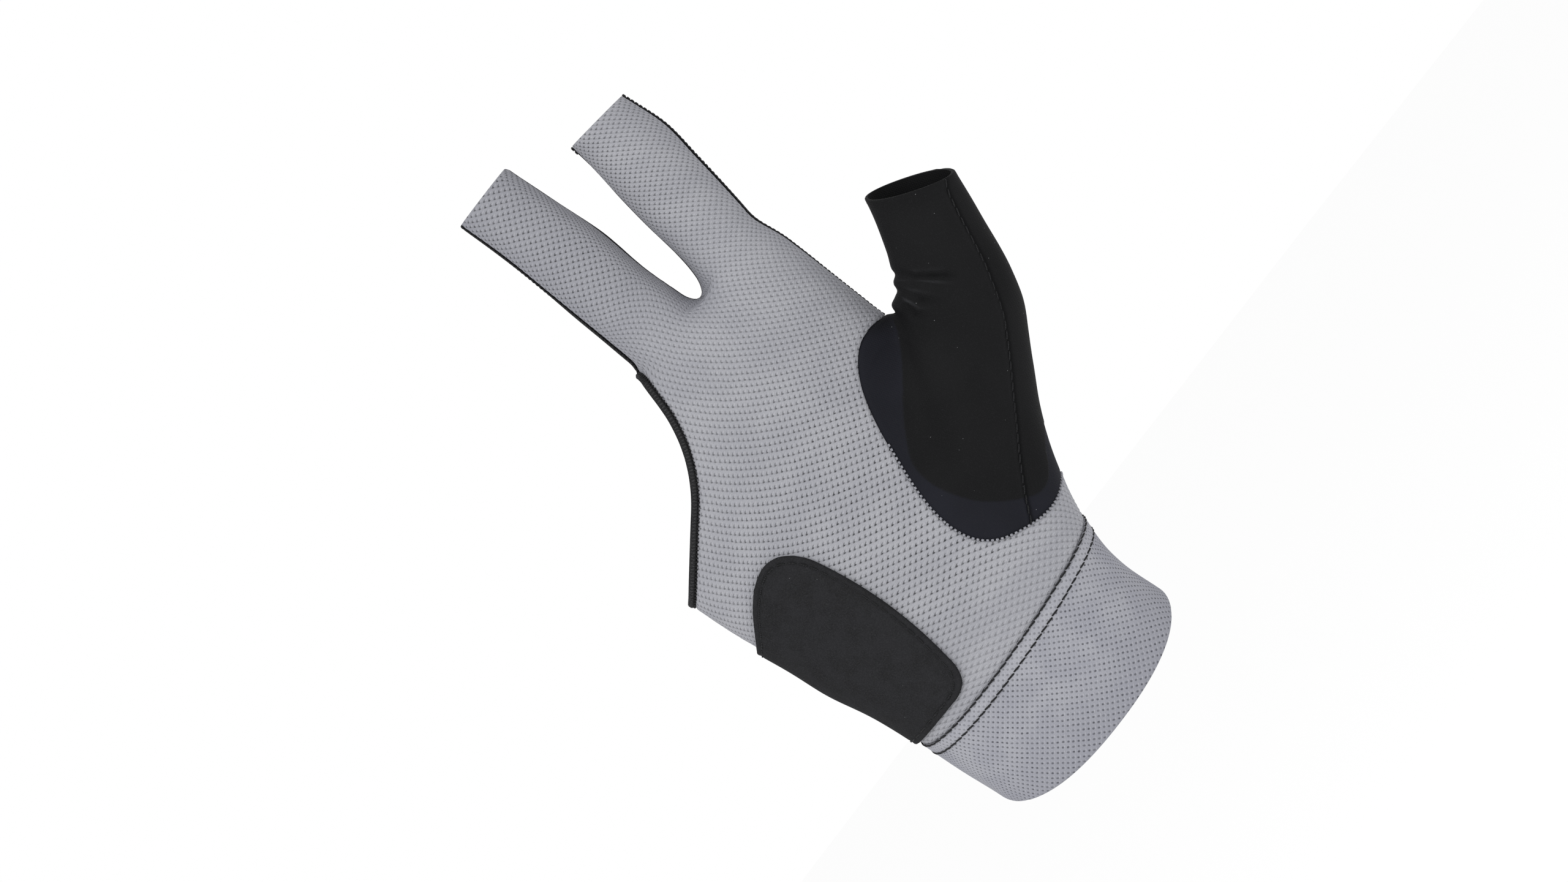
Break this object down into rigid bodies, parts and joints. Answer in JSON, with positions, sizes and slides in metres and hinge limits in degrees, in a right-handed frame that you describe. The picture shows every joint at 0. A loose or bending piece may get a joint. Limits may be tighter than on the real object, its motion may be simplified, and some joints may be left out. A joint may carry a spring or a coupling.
{
  "type": "billiard glove",
  "caption": "Open three-finger glove for a right hand: thumb, index and middle sleeves open at their ends, a wide opening for the other fingers, a heel pad and a wrist cuff.",
  "frame": {"origin": "middle of the wrist opening, where the glove goes on the wrist", "axes": "+Z from the wrist to the fingers, palm facing -Y, thumb on the +X side"},
  "size_m": [0.1319, 0.0509, 0.2146],
  "materials": {
    "gray_knit": "matt dimpled mesh knit",
    "gray_mesh": "matt fine mesh, two layers",
    "black_stretch": "matt smooth stretch knit",
    "black_suede": "brushed suede",
    "black_tape": "stretch edging tape"
  },
  "bodies": {
    "root": {"palm_panel": "gray_knit", "back_panel": "black_stretch", "thumb_sleeve": "black_stretch", "wrist_cuff": "gray_mesh", "opening_binding": "black_tape", "heel_pad": "black_suede"}
  },
  "joints": []
}
